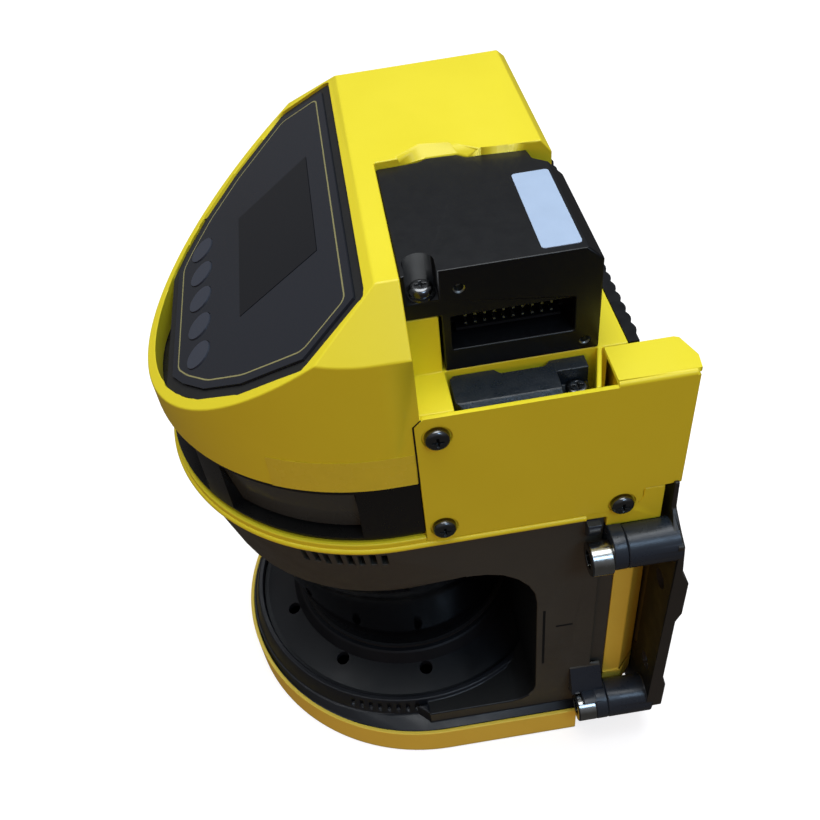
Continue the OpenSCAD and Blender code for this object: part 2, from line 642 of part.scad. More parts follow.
// ---- connection box ----
module box_plan(d = 0) {
  offset(delta = d) polygon([[box_x0, box_y0], [box_x1, box_y0], [box_x1, box_rear], [10.3, box_rear], [9.8, box_rear - 2.5], [6.9, 41.3], [3.2, 40.8],
    [2.35, 31], [2.3, 27.6], [0.55, 25.7], [0.1, 18.9], [box_x0 - 0.4, 16.7]]);
}
rec_y0 = rec_yc - recess_l / 2;
module io_box() {
  color("#191b1d") difference() {
    union() {
      slab(block_z, box_top) intersection() { box_plan(); translate([0, 14.7]) square([60, 60]); }
      slab(box_fz0, box_top) box_plan();
    }
    // sloping rear edge
    rotate([90, 0, 90]) linear_extrude(100, center = true)
      polygon([[box_rear - 3.2, box_top], [box_rear + 0.7, box_top - 3.9], [box_rear + 0.7, box_top + 1], [box_rear - 3.2, box_top + 1]]);
    // hollow for the connector board
    box6(5, box_x1 - 11.3, 17, 44.6, block_z - 1, box_top - 2.8);
    // connector recess, with a shelf below the pins
    box6(box_x1 - 9, box_x1 + 9, rec_y0, rec_y0 + recess_l, rec_z0, rec_z1);
    box6(box_x1 - 15.3, box_x1 - 8.3, rec_yc - 11.4, rec_yc + 11.4, rec_z0 + 0.7, rec_z1 - 1.9);
    // two threaded holes of the face
    xcyl(1.25, 18.6, box_top - 4.9, box_x1 - 8.3, box_x1 + 8);
    xcyl(1.25, 44.3, block_z + 2.4, box_x1 - 6.3, box_x1 + 8);
    // pocket over the fixing screw, open to the side
    zcyl(3.2, box_sx - 1, box_sy, box_fz1, box_top + 4, 32);
    box6(box_sx - 1, box_x1 + 8, box_sy - 3.15, box_sy + 3.15, box_fz1, box_top + 4);
    zcyl(1.7, box_sx, box_sy, box_fz0 - 4, box_fz1 + 1, 20);
  }
}
module interface_board() {
  color("darkgreen") box6(box_x1 - 17.1, box_x1 - 15.5, 17.6, 44, block_z + 1.3, box_top - 3.9);
  color("#111111") box6(box_x1 - 20.8, box_x1 - 17, 24, 34, block_z + 10.3, block_z + 18.3);
}
module header_block() {
  color("#101010") box6(box_x1 - 15.5, box_x1 - 9.1, rec_yc - 11.3, rec_yc + 11.3, rec_z0 + 0.8, rec_z1 - 2);
}
module header_pins() {
  color("gold") for (i = [0:pin_cols - 1], z = [rec_z0 + 2.7, rec_z0 + 2.7 + pin_pitch])
    translate([box_x1 - 9.1, rec_yc + (i - (pin_cols - 1) / 2) * pin_pitch - 0.25, z - 0.25]) cube([4.4, 0.5, 0.5]);
}
module pan_screw(head_r, head_h, r, l) {
  // pan head with a cross recess, pointing along -Z from the seat at z = 0
  difference() {
    union() {
      cylinder(r = head_r, h = head_h * 0.45, $fn = 28);
      translate([0, 0, head_h * 0.45]) cylinder(r1 = head_r, r2 = head_r * 0.62, h = head_h * 0.55, $fn = 28);
    }
    for (q = [0, 90]) rotate([0, 0, q]) translate([0, 0, head_h]) cube([head_r * 1.1, 0.7, head_h * 1.1], center = true);
  }
  translate([0, 0, -l]) cylinder(r = r, h = l + 0.1, $fn = 16);
}
module box_washer() {
  color("silver") slab(box_fz1, box_fz1 + 0.5) translate([box_sx, box_sy]) difference() { circle(r = 2.85, $fn = 28); circle(r = 1.7, $fn = 20); }
}
module box_screw() {
  color("silver") translate([box_sx, box_sy, box_fz1 + 0.5]) pan_screw(2.5, 2, 1.5, 10);
}
module box_label() {
  color("aliceblue") slab(box_top, box_top + 0.15) translate([box_x1 - 29.7, 35.3]) offset(r = 0.8, $fn = 16) offset(delta = -0.8) square([27.9, 8]);
}

// ---- side pocket and plate ----
module memory_module() {
  color("#2a323c") difference() {
    slab(126, block_z - 1.3) translate([body_r, 0]) polygon([[-11.9, 15.1], [-4.7, 15.1], [-2.9, 16.6], [-2.9, 37.4], [-9.1, 37.4], [-9.1, 44.2],
      [-12.9, 44.2], [-12.9, 36.6], [-11.5, 35.4], [-11.5, 26], [-12.9, 24.8], [-12.9, 16.1]]);
    translate([body_r - 2.9, 0, block_z - 1.3]) rotate([0, 45, 0]) cube([1.8, 200, 1.8], center = true);
  }
  color("#2a323c") difference() {
    slab(126, block_z - 5.5) polygon([[body_r - 9.2, 37.3], [body_r - 2.9, 37.3], [body_r - 2.9, 43.2], [body_r - 5.5, 44.2], [body_r - 9.2, 44.2]]);
    zcyl(1.6, body_r - 6.5, 41.2, 120, 140, 16);
  }
}
module module_screw() {
  color("silver") translate([body_r - 6.5, 41.2, block_z - 5.5]) pan_screw(2.6, 1.9, 1.25, 14);
}
module plate_profile() {
  x1 = 5.8 + plate_l;
  polygon([[5.8, lip_z + 2.2], [53.6, lip_z + 2.2], [55.2, lip_z + 3.8], [56, lip_z + 5.4], [56, lip_z + 8.4], [x1, lip_z + 8.8], [x1, block_z],
    [7.6, block_z], [5.8, block_z - 1.8]]);
}
module side_plate() {
  x0 = body_r - plate_t;
  y1 = 5.8 + plate_l;
  color("gold") difference() {
    union() {
      translate([x0, 0, 0]) rotate([90, 0, 90]) linear_extrude(plate_t) plate_profile();
      // folded tab with its bend
      difference() {
        slab(block_z - 0.01, block_z + plate_t) polygon([[body_r, 47.9], [body_r, y1 - 0.7], [body_r - 1, y1 - 0.7],
          [body_r - 1, y1 + 0.4], [body_r - 5.1, y1 + 1], [body_r - tab_w + 0.5, y1 - 0.9], [body_r - tab_w, y1 - 2], [body_r - tab_w, 47.9]]);
        translate([body_r - plate_t, 40, block_z]) difference() {
          cube([5, 40, 5]);
          rotate([-90, 0, 0]) cylinder(r = plate_t, h = 60, $fn = 24);
        }
      }
    }
    for (p = plate_holes) {
      xcyl(1.7, p[0], p[1], body_r - 5, body_r + 5, 20);
      xcyl(3.2, p[0], p[1], body_r - 0.45, body_r + 5, 28);
    }
  }
}
module plate_screws() {
  color("#303236") for (p = plate_holes) translate([body_r - 0.45, p[0], p[1]]) rotate([0, 90, 0]) pan_screw(2.75, 2.1, 1.45, 7.2);
}

// ---- rear ----
module heat_sink() {
  // a plate with shallow rounded ribs
  x0 = -body_r + 5.5;
  n = floor((box_x1 - x0) / fin_pitch);
  color("#17181a") slab(lip_z + 9, block_z) translate([x0, block_rear + 0.1]) polygon(concat([[0, 0]],
    [for (i = [0 : n - 1], t = [0 : 3]) [(i + t / 4) * fin_pitch + 0.05, 2.3 + 0.55 * sin(180 * t / 4)]],
    [[n * fin_pitch + 0.05, 2.3], [box_x1 - x0 + 0.1, 2.3], [box_x1 - x0 + 0.1, 0]]));
}
module cover_plan(x, y1) {
  polygon([[-x, 52.4], [-x, y1 - 4.8], [-x + 5.2, y1], [x - 5.2, y1], [x, y1 - 4.8], [x, 52.4]]);
}
module rear_cover() {
  color("gold") difference() {
    union() {
      slab(13.5, lip_z - 3.6) cover_plan(body_r - 2.7, frame_y - 0.5);
      slab(13.5, 21) cover_plan(body_r - 2.2, frame_y - 0.2);
    }
    slab(15.5, lip_z - 5.6) translate([0, -1.4]) cover_plan(body_r - 4.9, frame_y - 1);
  }
}
frame_holes = [for (s = [-1, 1], z = [screw_hi - 17, screw_lo + 16]) [s * (screw_x - 2.5), z]];
module frame_profile() {
  polygon([for (p = [[0, 3.2], [2.2, 3.2], [frame_t, 10], [frame_t, 28], [frame_t - 1.1, 32.5], [frame_t - 1.1, 61], [frame_t + 0.2, 64.5], [frame_t + 0.2, 77.5],
    [frame_t - 1.8, 82], [1.5, 95], [1.3, 107.5], [0, 107.5]]) [frame_y + p[0], p[1]]]);
}
module mount_frame() {
  color("#2b2c2e") difference() {
    union() {
      intersection() {
        rotate([90, 0, 90]) translate([0, 0, -90]) linear_extrude(180) frame_profile();
        translate([0, 80, 0]) rotate([90, 0, 0]) linear_extrude(30) difference() {
          polygon([for (s = [1, -1]) each [for (q = s > 0 ? [0:4] : [4:-1:0]) let (p = [[2.5, 3.2], [-4, 17], [-4, 93], [3.5, 99], [3.7, 107.5]][q])
            [s * (screw_x - p[0]), p[1]]]]);
          offset(r = 4, $fn = 24) offset(delta = -4) translate([-screw_x + 10, 27]) square([2 * screw_x - 20, 53]);
        }
      }
      for (s = [-1, 1], z = [screw_hi, screw_lo]) ycyl(boss_r, s * boss_at(z)[0], boss_at(z)[1], seam_y + 0.05, frame_y + 1.3, 40);
    }
    // clear of the head's rear foot
    box6(-body_r - 0.1, body_r + 0.1, 40, column_rear + 0.4, lip_z - 3.65, lip_z + 9);
    for (s = [-1, 1], z = [screw_hi, screw_lo]) ycyl(2.55, s * screw_x, z, 50, 62.6, 24);
    for (p = frame_holes) ycyl(2.75, p[0], p[1], 60, 80, 24);
  }
}
module frame_screws() {
  color("silver") for (s = [-1, 1], z = [screw_hi, screw_lo]) difference() {
    union() {
      ycyl(4.25, s * screw_x, z, 43, 48, 36);
      ycyl(2.5, s * screw_x, z, 47.9, 62, 24);
    }
    ycyl(2.31, s * screw_x, z, 42, 45.6, 6);
  }
}

base_bumper();
base_plate();
base_screws();
lower_housing();
dish_tray();
scan_window();
window_seal_upper();
window_seal_lower();
motor_stator();
rotor_bearings();
rotor_shaft();
encoder_disc();
encoder_fork();
mirror_carrier();
scan_mirror();
lens_mount();
lens_screws();
receiver_lens();
laser_module();
detector_board();
main_board();
joint_seal();
head_shell();
camera_band();
camera_panes();
camera_modules();
indicator_board();
control_panel();
panel_gasket();
display_window();
panel_keys();
display_module();
io_box();
interface_board();
header_block();
header_pins();
box_screw();
box_washer();
box_label();
dome_label();
memory_module();
module_screw();
side_plate();
plate_screws();
heat_sink();
rear_cover();
mount_frame();
frame_screws();
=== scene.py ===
"""Safety laser scanner: finishes, fine pieces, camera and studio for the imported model."""
import json
from math import atan2, cos, radians, sin

import bmesh
import bpy
from mathutils import Matrix, Vector

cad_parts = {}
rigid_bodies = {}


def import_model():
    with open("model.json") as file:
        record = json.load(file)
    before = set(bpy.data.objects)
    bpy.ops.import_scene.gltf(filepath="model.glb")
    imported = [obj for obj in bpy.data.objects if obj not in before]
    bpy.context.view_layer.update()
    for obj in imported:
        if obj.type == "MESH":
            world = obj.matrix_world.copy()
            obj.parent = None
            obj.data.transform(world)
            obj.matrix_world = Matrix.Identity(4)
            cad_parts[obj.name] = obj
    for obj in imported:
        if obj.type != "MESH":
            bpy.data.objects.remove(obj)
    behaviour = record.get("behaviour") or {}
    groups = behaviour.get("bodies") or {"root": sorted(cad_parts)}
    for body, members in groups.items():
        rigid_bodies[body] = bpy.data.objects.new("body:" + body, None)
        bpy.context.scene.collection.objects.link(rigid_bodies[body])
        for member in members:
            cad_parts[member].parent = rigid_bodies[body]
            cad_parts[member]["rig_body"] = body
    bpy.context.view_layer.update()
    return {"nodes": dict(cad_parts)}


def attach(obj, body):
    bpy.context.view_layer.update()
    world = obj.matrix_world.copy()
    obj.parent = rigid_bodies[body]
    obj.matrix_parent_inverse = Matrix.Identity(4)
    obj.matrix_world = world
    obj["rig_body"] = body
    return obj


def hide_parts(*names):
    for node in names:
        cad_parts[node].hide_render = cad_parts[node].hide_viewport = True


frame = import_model()
nodes = frame["nodes"]
scene = bpy.context.scene


# ---------------------------------------------------------------- sizes
# Lengths are in millimetres, and MM turns them into Blender's metres.
MM = 0.001
BODY_RADIUS = 55.5  # rounded front of the head, half its width
LIP_BOTTOM = 98  # underside of the yellow lip
BLOCK_TOP = 139.7  # block beside the hood, and foot of the connection box
BOX_FACE = 42.3
BOX_TOP = 165.4
BOX_FLANGE_TOP = BOX_TOP - 6.9
RECESS_MIDDLE = 29.2
RECESS_BOTTOM = BLOCK_TOP + 5.5
PLATE_HOLES = [(10.3, BLOCK_TOP - 5.8), (10, LIP_BOTTOM + 6.4), (51.2, LIP_BOTTOM + 4.5)]
GROOVE_SHADE_X = 54.55  # painted shade strips in the grooves of the side walls of the lower housing
FRAME_FACE = 62.6  # front of the wall frame, where its bosses end
CAP_RADIUS = 4.25
CAP_FACE = 43  # end of the frame screws' heads, before the rim is turned
CAP_SHANK_RADIUS = 2.5
SOCKET_RADIUS = 2.5

# the operating panel leans back from its foot at the lip to its top edge at the hood
PANEL_FOOT_Y, PANEL_FOOT_Z = -48.8, 130.4
PANEL_TOP_Y, PANEL_TOP_Z = 0.2, 165.4
PANEL_SLOPE = atan2(PANEL_TOP_Z - PANEL_FOOT_Z, PANEL_TOP_Y - PANEL_FOOT_Y)
PANEL_UP = Vector((0, -sin(PANEL_SLOPE), cos(PANEL_SLOPE)))
PANEL_RIM_RADIUS = 53

SIDES = {-1: "left", 1: "right"}
QUARTER = radians(90)


# ---------------------------------------------------------------- camera
cam_data = bpy.data.cameras.new("camera")
cam_data.lens = 40.14
cam_data.sensor_width = 36
cam_data.shift_x = 0.026
cam_data.shift_y = 0.022
cam_data.clip_start = 0.01
cam = bpy.data.objects.new("camera", cam_data)
cam.location = (0.18389, -0.00104, 0.26980)
cam.rotation_euler = (radians(44.157), radians(6.052), radians(82.966))
scene.collection.objects.link(cam)
scene.camera = cam


# ---------------------------------------------------------------- finishes
# sockets of a Mix node that mixes colours
MIX_FACTOR, MIX_FIRST, MIX_SECOND, MIX_RESULT = 0, 6, 7, 2


class Finish:
    """A procedural finish on object coordinates. Noise scales are in patches to the metre."""

    def __init__(self, name, colour, roughness, metallic=0.0, specular=0.5,
                 coat=0.0, coat_roughness=0.1):
        self.mat = bpy.data.materials.new(name)
        self.mat.use_nodes = True
        self.tree = self.mat.node_tree
        self.shader = self.tree.nodes["Principled BSDF"]
        self.colour = colour
        sockets = self.shader.inputs
        sockets["Base Color"].default_value = (*colour, 1)
        sockets["Roughness"].default_value = roughness
        sockets["Metallic"].default_value = metallic
        sockets["Specular IOR Level"].default_value = specular
        sockets["Coat Weight"].default_value = coat
        sockets["Coat Roughness"].default_value = coat_roughness
        sockets["IOR"].default_value = 1.5
        self.coords = self.tree.nodes.new("ShaderNodeTexCoord")
        self.normal = None

    def noise(self, scale, detail, roughness=0.5):
        n = self.tree.nodes.new("ShaderNodeTexNoise")
        n.inputs["Scale"].default_value = scale
        n.inputs["Detail"].default_value = detail
        n.inputs["Roughness"].default_value = roughness
        self.tree.links.new(self.coords.outputs["Object"], n.inputs["Vector"])
        return n.outputs["Fac"]

    def spread(self, fac, low, high):
        """Stretch the middle of the noise over the range from low to high."""
        r = self.tree.nodes.new("ShaderNodeMapRange")
        r.inputs["From Min"].default_value = 0.3
        r.inputs["From Max"].default_value = 0.7
        r.inputs["To Min"].default_value = low
        r.inputs["To Max"].default_value = high
        self.tree.links.new(fac, r.inputs["Value"])
        return r.outputs["Result"]

    def tint(self, fac, other, amount):
        """Let the colour drift towards another, by the amount at most."""
        mix = self.tree.nodes.new("ShaderNodeMix")
        mix.data_type = "RGBA"
        mix.inputs[MIX_FIRST].default_value = (*self.colour, 1)
        mix.inputs[MIX_SECOND].default_value = (*other, 1)
        self.tree.links.new(self.spread(fac, 0, amount), mix.inputs[MIX_FACTOR])
        self.tree.links.new(mix.outputs[MIX_RESULT], self.shader.inputs["Base Color"])
        return self

    def sheen_patches(self, fac, low, high):
        """Let the roughness vary between low and high."""
        self.tree.links.new(self.spread(fac, low, high), self.shader.inputs["Roughness"])
        return self

    def grain(self, fac, strength, depth):
        """Fine relief, its depth in metres, laid over any relief that is there."""
        b = self.tree.nodes.new("ShaderNodeBump")
        b.inputs["Strength"].default_value = strength
        b.inputs["Distance"].default_value = depth
        self.tree.links.new(fac, b.inputs["Height"])
        if self.normal is not None:
            self.tree.links.new(self.normal, b.inputs["Normal"])
        self.normal = b.outputs["Normal"]
        self.tree.links.new(self.normal, self.shader.inputs["Normal"])
        return self


def powder_yellow():
    f = Finish("yellow powder coat", (0.93, 0.80, 0.030), 0.34, specular=0.4)
    f.tint(f.noise(55, 3), (0.90, 0.765, 0.026), 0.6)
    f.sheen_patches(f.noise(90, 4), 0.30, 0.40)
    return f.grain(f.noise(2600, 2), 0.10, 0.00006).grain(f.noise(700, 2), 0.10, 0.00012)


def moulded_yellow():
    f = Finish("yellow moulding", (0.96, 0.74, 0.085), 0.4)
    f.tint(f.noise(80, 3), (0.90, 0.68, 0.072), 0.6)
    f.sheen_patches(f.noise(120, 3), 0.36, 0.46)
    return f.grain(f.noise(1800, 2), 0.12, 0.00006)


def cast_black():
    f = Finish("black casting", (0.064, 0.066, 0.054), 0.46, specular=0.45)
    f.tint(f.noise(70, 4), (0.056, 0.058, 0.049), 0.7)
    f.sheen_patches(f.noise(160, 4), 0.42, 0.56)
    return f.grain(f.noise(3200, 3, 0.6), 0.35, 0.00008)


def box_black():
    f = Finish("black box enamel", (0.0045, 0.005, 0.006), 0.33, specular=0.4)
    f.tint(f.noise(90, 3), (0.006, 0.0065, 0.008), 0.5)
    f.sheen_patches(f.noise(420, 3), 0.30, 0.36)
    return f.grain(f.noise(3600, 3, 0.6), 0.22, 0.00006)


def frame_black():
    f = Finish("black frame", (0.026, 0.025, 0.021), 0.36)
    f.tint(f.noise(60, 4), (0.031, 0.030, 0.026), 0.6)
    f.sheen_patches(f.noise(130, 4), 0.32, 0.42)
    return f.grain(f.noise(2400, 3, 0.6), 0.3, 0.00008)


def module_black():
    f = Finish("blue-black moulding", (0.012, 0.017, 0.023), 0.34)
    f.tint(f.noise(150, 3), (0.017, 0.023, 0.031), 0.6)
    f.sheen_patches(f.noise(260, 3), 0.22, 0.42)
    return f.grain(f.noise(1000, 4, 0.7), 0.7, 0.00022)


def dish_black():
    f = Finish("dish moulding", (0.006, 0.007, 0.009), 0.34, specular=0.35)
    f.tint(f.noise(60, 4), (0.010, 0.012, 0.015), 0.7)
    f.sheen_patches(f.noise(110, 4), 0.3, 0.5)
    return f.grain(f.noise(2800, 3), 0.18, 0.00005)


def fine_black(name, colour, roughness):
    f = Finish(name, colour, roughness)
    f.sheen_patches(f.noise(200, 3), roughness - 0.06, roughness + 0.06)
    return f.grain(f.noise(2600, 3), 0.2, 0.00005)


def gloss_black(name, colour, roughness):
    f = Finish(name, colour, roughness, coat=0.4, coat_roughness=0.05)
    f.sheen_patches(f.noise(60, 4), roughness - 0.04, roughness + 0.08)
    return f.grain(f.noise(900, 2), 0.02, 0.00003)


def smoked(name, colour, alpha, roughness=0.08):
    f = Finish(name, colour, roughness)
    f.shader.inputs["Alpha"].default_value = alpha
    return f.sheen_patches(f.noise(70, 4), roughness - 0.03, roughness + 0.06)


def metal(name, colour, roughness, relief=0.12):
    f = Finish(name, colour, roughness, metallic=1.0)
    f.tint(f.noise(300, 3), tuple(c * 0.82 for c in colour), 0.7)
    f.sheen_patches(f.noise(420, 4), roughness - 0.07, roughness + 0.1)
    return f.grain(f.noise(1600, 3, 0.6), relief, 0.00004)


def rubber():
    f = Finish("black rubber", (0.012, 0.012, 0.012), 0.7)
    f.sheen_patches(f.noise(300, 3), 0.6, 0.8)
    return f.grain(f.noise(1500, 3), 0.3, 0.00008)


def board():
    f = Finish("solder mask", (0.02, 0.12, 0.05), 0.35)
    f.tint(f.noise(700, 2), (0.03, 0.17, 0.07), 0.8)
    return f.sheen_patches(f.noise(500, 2), 0.3, 0.42)


def paper_label(name, colour, roughness):
    f = Finish(name, colour, roughness)
    f.tint(f.noise(240, 4), tuple(c * 0.94 for c in colour), 0.7)
    f.sheen_patches(f.noise(300, 3), roughness - 0.08, roughness + 0.08)
    return f.grain(f.noise(3000, 3), 0.08, 0.00003)


yellow = powder_yellow()
yellow_plastic = moulded_yellow()
casting = cast_black()
enamel = box_black()
rail = frame_black()
blue_black = module_black()
dish = dish_black()
matt = fine_black("fine black moulding", (0.014, 0.014, 0.014), 0.45)
fascia = gloss_black("fascia", (0.019, 0.022, 0.030), 0.2)
display = gloss_black("display glass", (0.006, 0.007, 0.010), 0.08)
window = smoked("scan window", (0.0015, 0.0018, 0.003), 0.96)
pane = smoked("camera pane", (0.050, 0.056, 0.050), 0.96, 0.16)
steel = metal("bright steel", (0.62, 0.62, 0.61), 0.28)
zinc = metal("black zinc", (0.17, 0.172, 0.176), 0.2, relief=0.05)
alloy = metal("machined alloy", (0.55, 0.55, 0.56), 0.36)
fin_alloy = metal("black anodised alloy", (0.030, 0.031, 0.034), 0.4, relief=0.2)
brass = metal("gold plate", (0.75, 0.56, 0.25), 0.25)
tin = metal("tinned contacts", (0.34, 0.34, 0.32), 0.35)
bright = metal("turned steel", (0.52, 0.52, 0.50), 0.2, relief=0.04)
# painted shade: a near-black finish laid on faces that sit in shade, inside the scan opening, on
# the frame's inner face, in screw recesses, in the plate joint and in the side grooves
painted_shade = fine_black("painted shade black", (0.0025, 0.0025, 0.0025), 0.6)
base_paint = fine_black("flange paint", (0.009, 0.011, 0.015), 0.4)
# painted reflection: the bluish colour of the frame bosses and housing lugs stands for the blue
# sheen of the window light on them
lug_blue_sheen = fine_black("painted blue sheen", (0.022, 0.030, 0.043), 0.3)
band = fine_black("gloss band", (0.008, 0.008, 0.0075), 0.3)
silver = Finish("mirror coating", (0.92, 0.92, 0.92), 0.03, metallic=1.0)
silver.sheen_patches(silver.noise(80, 2), 0.02, 0.05)
glass = smoked("coated lens", (0.72, 0.80, 0.86), 0.35, 0.05)
seal = rubber()
green = board()
label = paper_label("bare label", (0.45, 0.58, 0.77), 0.45)
film = paper_label("bare film label", (0.90, 0.755, 0.045), 0.26)
print_line = paper_label("panel print", (0.34, 0.32, 0.14), 0.4)
keycap = fine_black("key membrane", (0.050, 0.058, 0.078), 0.38)

finish_of = {
    "base_bumper": yellow_plastic, "base_plate": fin_alloy, "base_screws": steel,
    "lower_housing": casting, "dish_tray": dish, "scan_window": window,
    "window_seal_upper": seal, "window_seal_lower": seal, "joint_seal": seal,
    "motor_stator": alloy, "rotor_bearings": steel, "rotor_shaft": steel,
    "encoder_disc": zinc, "encoder_fork": matt, "mirror_carrier": matt, "scan_mirror": silver,
    "lens_mount": matt, "lens_screws": steel, "receiver_lens": glass, "laser_module": brass,
    "detector_board": green, "main_board": green, "indicator_board": green,
    "head_shell": yellow, "dome_label": film, "heat_sink": fin_alloy,
    "camera_band": band, "camera_panes": pane, "camera_modules": matt,
    "control_panel": fascia, "panel_gasket": seal, "display_window": display,
    "panel_keys": keycap, "display_module": alloy,
    "io_box": enamel, "interface_board": green, "header_block": matt, "header_pins": tin,
    "box_screw": zinc, "box_washer": zinc, "box_label": label,
    "memory_module": blue_black, "module_screw": zinc,
    "side_plate": yellow, "plate_screws": zinc,
    "rear_cover": yellow_plastic, "mount_frame": rail, "frame_screws": steel,
}
for name, finish in finish_of.items():
    mesh = nodes[name].data
    mesh.materials.clear()
    mesh.materials.append(finish.mat)


# ---------------------------------------------------------------- bench tools
def clear():
    """Leave nothing selected."""
    for o in list(bpy.context.selected_objects):
        o.select_set(False)


def pick(o):
    """Select one piece alone and work on it."""
    clear()
    o.select_set(True)
    bpy.context.view_layer.objects.active = o


def even_shading(o):
    """Smooth across gentle edges, with the large faces kept flat."""
    pick(o)
    bpy.ops.object.shade_smooth_by_angle(angle=radians(40))
    weighted = o.modifiers.new("flat", "WEIGHTED_NORMAL")
    weighted.mode = "FACE_AREA"
    weighted.weight = 90
    weighted.keep_sharp = True
    bpy.ops.object.modifier_apply(modifier="flat")


def paint(o, *coats):
    """Add finishes to a piece. Each face gets the first one whose test it passes."""
    for finish, _ in coats:
        o.data.materials.append(finish.mat)
    for f in o.data.polygons:
        centre = f.center / MM
        for index, (_, test) in enumerate(coats, 1):
            if test(centre, f.normal):
                f.material_index = index
                break


def carry(o):
    """The fixed body carries the piece."""
    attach(o, "scanner")


def stand_for(o, node):
    """The piece takes the place of a CAD node."""
    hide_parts(node)
    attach(o, nodes[node]["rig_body"])


# ---------------------------------------------------------------- finished solids
def merged_copy(name):
    """A copy of a CAD solid, its triangles merged, left in edit mode."""
    o = bpy.data.objects.new(name + "_finished", nodes[name].data.copy())
    scene.collection.objects.link(o)
    pick(o)
    bpy.ops.object.mode_set(mode="EDIT")
    bpy.ops.mesh.select_all(action="SELECT")
    bpy.ops.mesh.remove_doubles(threshold=0.01 * MM)
    return o


def bevel_edges(o, test, width, segments, clamp, miter):
    """Join the triangles into whole faces, then bevel the edges that pass the test."""
    bpy.ops.mesh.dissolve_limited(angle_limit=radians(0.6))
    bpy.ops.object.mode_set(mode="OBJECT")
    form = bmesh.new()
    form.from_mesh(o.data)
    weight = form.edges.layers.float.new("bevel_weight_edge")
    for e in form.edges:
        if e.is_manifold and test(e):
            e[weight] = 1.0
    form.to_mesh(o.data)
    form.free()
    bevel = o.modifiers.new("edge", "BEVEL")
    bevel.width = width * MM
    bevel.segments = segments
    bevel.limit_method = "WEIGHT"
    bevel.use_clamp_overlap = clamp
    bevel.miter_outer = miter
    bpy.ops.object.modifier_apply(modifier="edge")
    even_shading(o)


def ease_outline(name):
    """A panel part whose outline turns in small steps instead of a few flats."""

    def is_corner(e):
        run = (e.verts[1].co - e.verts[0].co).normalized()
        return abs(run.dot(PANEL_UP)) > 0.98 and radians(4) < e.calc_face_angle() < radians(50)

    o = merged_copy(name)
    bevel_edges(o, is_corner, 2.6, 5, True, "MITER_SHARP")
    stand_for(o, name)


def round_edges(name, width):
    """A solid with its edges broken, where the edges and faces beside them leave room."""
    room = 1.6 * width * MM

    def has_room(e):
        tight = any(n.calc_length() < room for v in e.verts for n in v.link_edges)
        slim = any(f.calc_area() < room * e.calc_length() for f in e.link_faces)
        return not tight and not slim and e.calc_face_angle() > radians(32)

    o = merged_copy(name)
    bpy.ops.mesh.dissolve_degenerate(threshold=0.03 * MM)
    bevel_edges(o, has_room, width, 2, False, "MITER_ARC")
    stand_for(o, name)
    return o


ease_outline("control_panel")
ease_outline("panel_gasket")
round_edges("head_shell", 0.38)
round_edges("io_box", 0.35)
round_edges("side_plate", 0.2)
round_edges("memory_module", 0.3)
housing = round_edges("lower_housing", 0.35)
wall_frame = round_edges("mount_frame", 0.4)
round_edges("rear_cover", 0.4)
round_edges("base_bumper", 0.3)


# Painted shade: the inner faces of the scan opening take the near-black shade finish, as they lie
# in shade inside the mouth.
def shaded_scan_opening(c, n):
    return 15 < c.z < 86 and 3 < c.y < 33.2 and abs(c.x) < 54.7 and abs(n.x) < 0.3


def on_base_flange(c, n):
    return c.z < 18 and c.y < 43.5


# Painted reflection: the lugs on the housing's sides take the bluish sheen finish.
def on_housing_lug(c, n):
    return abs(c.x) > 55.2 or (c.z < 30 and c.y > 41.5 and abs(c.x) > 54.9)


paint(housing, (painted_shade, shaded_scan_opening), (base_paint, on_base_flange), (lug_blue_sheen, on_housing_lug))
# Painted shade: the frame's front faces behind the rear cover take the near-black shade finish; the
# bosses take the painted blue sheen.
paint(wall_frame,
      (painted_shade, lambda c, n: c.y >= FRAME_FACE and n.y < -0.6),
      (lug_blue_sheen, lambda c, n: c.y < FRAME_FACE))


# ---------------------------------------------------------------- modelling tools
def primitive(kind, place, extent=None, **more):
    """A primitive at its size and place, left in edit mode with nothing picked."""
    clear()
    kind(location=tuple(p * MM for p in place), **more)
    o = bpy.context.object
    if extent is not None:
        o.scale = tuple(e * MM for e in extent)
    bpy.ops.object.transform_apply(location=True, rotation=True, scale=True)
    bpy.ops.object.mode_set(mode="EDIT")
    bpy.ops.mesh.select_mode(type="FACE")
    bpy.ops.mesh.select_all(action="DESELECT")
    return o


def cube(place, extent, **more):
    return primitive(bpy.ops.mesh.primitive_cube_add, place, extent, size=1, **more)


def plane(place, width, depth, **more):
    extent = (width, depth, 1)
    return primitive(bpy.ops.mesh.primitive_plane_add, place, extent, size=1, **more)


def cylinder(place, radius, depth, sides, turn=(0, 0, 0)):
    return primitive(bpy.ops.mesh.primitive_cylinder_add, place, vertices=sides,
                     radius=radius * MM, depth=depth * MM, rotation=turn)


def choose(o, test):
    """Pick the faces that pass the test, by centre and by normal."""
    bpy.ops.mesh.select_all(action="DESELECT")
    form = bmesh.from_edit_mesh(o.data)
    for f in form.faces:
        f.select = test(f.calc_center_median() / MM, f.normal)
    form.select_flush(True)
    bmesh.update_edit_mesh(o.data)


def choose_edges(o, test):
    """Pick the edges that pass the test."""
    bpy.ops.mesh.select_mode(type="EDGE")
    form = bmesh.from_edit_mesh(o.data)
    for e in form.edges:
        e.select = test(e)
    bmesh.update_edit_mesh(o.data)


def choose_all(kind="FACE"):
    """Pick every face, edge or vertex of the piece."""
    bpy.ops.mesh.select_mode(type=kind)
    bpy.ops.mesh.select_all(action="SELECT")


def inset(width, rise=0.0):
    """Inset the picked faces, and raise or sink what lies inside."""
    bpy.ops.mesh.inset(thickness=width * MM, depth=rise * MM)


